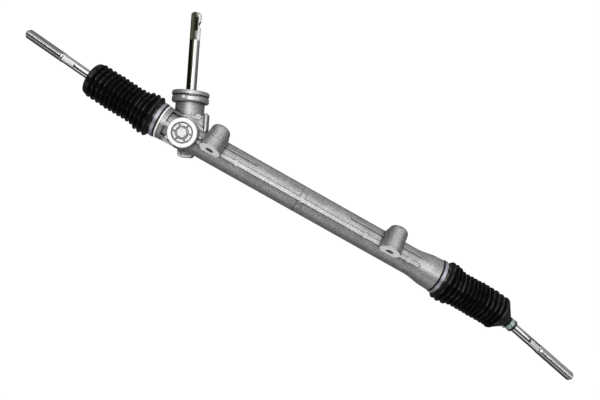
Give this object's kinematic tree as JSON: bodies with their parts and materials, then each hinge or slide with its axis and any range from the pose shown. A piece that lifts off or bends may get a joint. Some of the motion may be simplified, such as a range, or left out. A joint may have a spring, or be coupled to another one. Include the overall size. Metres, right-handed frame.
{
  "type": "steering rack",
  "caption": "Manual rack-and-pinion steering gear: cast housing with two mounting bosses, leaning pinion tower, ribbed bellows and threaded tie rods.",
  "frame": {"origin": "midway between the two mounting holes, on the plane of the bosses' lower faces", "axes": "+X along the rack away from the pinion, -Y the way the mounting bolts leave the bosses' lower faces, +Z off the bench, towards the side that the yoke plug is screwed in from"},
  "size_m": [0.935, 0.1968, 0.0892],
  "materials": {
    "cast_aluminium": "as-cast, fine satin grain",
    "machined_alloy": "turned, bright",
    "cap_alloy": "satin",
    "ground_steel": "ground",
    "rod_steel": "drawn, lightly oiled",
    "dark_steel": "phosphated",
    "clamp_steel": "zinc plated",
    "bellows_rubber": "satin black",
    "seal_rubber": "matt black",
    "acetal": "natural"
  },
  "bodies": {
    "housing": {"rack_housing": "cast_aluminium", "rack_bush": "acetal", "pinion_bearing_outer_race": "ground_steel", "needle_bearing_shell": "ground_steel", "pinion_ring_nut": "dark_steel", "pinion_seal": "seal_rubber", "pinion_cap": "cap_alloy", "yoke_spring": "dark_steel", "yoke_plug": "machined_alloy", "bellows_left": "bellows_rubber", "bellows_right": "bellows_rubber", "large_clamp_left": "clamp_steel", "large_clamp_right": "clamp_steel"},
    "rack": {"rack_bar": "ground_steel", "inner_joint_socket_left": "dark_steel", "inner_joint_socket_right": "dark_steel", "lock_washer_left": "ground_steel", "lock_washer_right": "ground_steel"},
    "pinion": {"pinion_shaft": "dark_steel", "pinion_snap_ring": "dark_steel", "pinion_bearing_inner_race": "ground_steel"},
    "bearing_balls": {"pinion_bearing_balls": "ground_steel", "pinion_bearing_cage": "acetal"},
    "needles": {"needle_bearing_rollers": "ground_steel", "needle_bearing_cage": "ground_steel"},
    "yoke": {"yoke": "cast_aluminium", "yoke_liner": "acetal", "yoke_o_ring": "seal_rubber"},
    "ball_seat_left": {"ball_seat_left": "acetal"},
    "tie_rod_left": {"tie_rod_left": "rod_steel", "small_clamp_left": "clamp_steel"},
    "ball_seat_right": {"ball_seat_right": "acetal"},
    "tie_rod_right": {"tie_rod_right": "rod_steel", "small_clamp_right": "clamp_steel"}
  },
  "joints": [
    {"name": "rack_slide", "type": "slide", "parent": "housing", "child": "rack", "axis": [1, 0, 0], "range_m": [-0.08, 0.044], "deforming": ["bellows_left", "bellows_right"]},
    {"name": "pinion_spin", "type": "hinge", "parent": "housing", "child": "pinion", "pos_m": [-0.188, 0.01969, -0.04083], "axis": [-0.4226, 0.8403, 0.3395], "range_deg": [-625, 344]},
    {"name": "bearing_balls_spin", "type": "hinge", "parent": "housing", "child": "bearing_balls", "pos_m": [-0.20554, 0.05457, -0.02675], "axis": [-0.4226, 0.8403, 0.3395], "range_deg": [-238, 132]},
    {"name": "needles_spin", "type": "hinge", "parent": "housing", "child": "needles", "pos_m": [-0.17891, 0.00163, -0.04813], "axis": [-0.4226, 0.8403, 0.3395], "range_deg": [-285, 157]},
    {"name": "yoke_float", "type": "slide", "parent": "housing", "child": "yoke", "axis": [0, -0.3746, 0.9272], "range_m": [0, 0.0001]},
    {"name": "left_rod_swing", "type": "hinge", "parent": "rack", "child": "ball_seat_left", "pos_m": [-0.283, 0.0137, -0.026], "axis": [0, -0.3746, 0.9272], "range_deg": [-10.5, 21.5]},
    {"name": "left_rod_tilt", "type": "hinge", "parent": "ball_seat_left", "child": "tie_rod_left", "pos_m": [-0.283, 0.0137, -0.026], "axis": [0.0958, 0.9229, 0.3729], "range_deg": [-16, 16]},
    {"name": "right_rod_swing", "type": "hinge", "parent": "rack", "child": "ball_seat_right", "pos_m": [0.319, 0.0137, -0.026], "axis": [0, -0.3746, 0.9272], "range_deg": [-4.35, 27.65]},
    {"name": "right_rod_tilt", "type": "hinge", "parent": "ball_seat_right", "child": "tie_rod_right", "pos_m": [0.319, 0.0137, -0.026], "axis": [0.2019, 0.9081, 0.3669], "range_deg": [-16, 16]}
  ],
  "couplings": [
    {"joint": "pinion_spin", "follows": "rack_slide", "rad_per_m": 136.05},
    {"joint": "bearing_balls_spin", "follows": "rack_slide", "rad_per_m": 51.701},
    {"joint": "needles_spin", "follows": "rack_slide", "rad_per_m": 61.843}
  ]
}
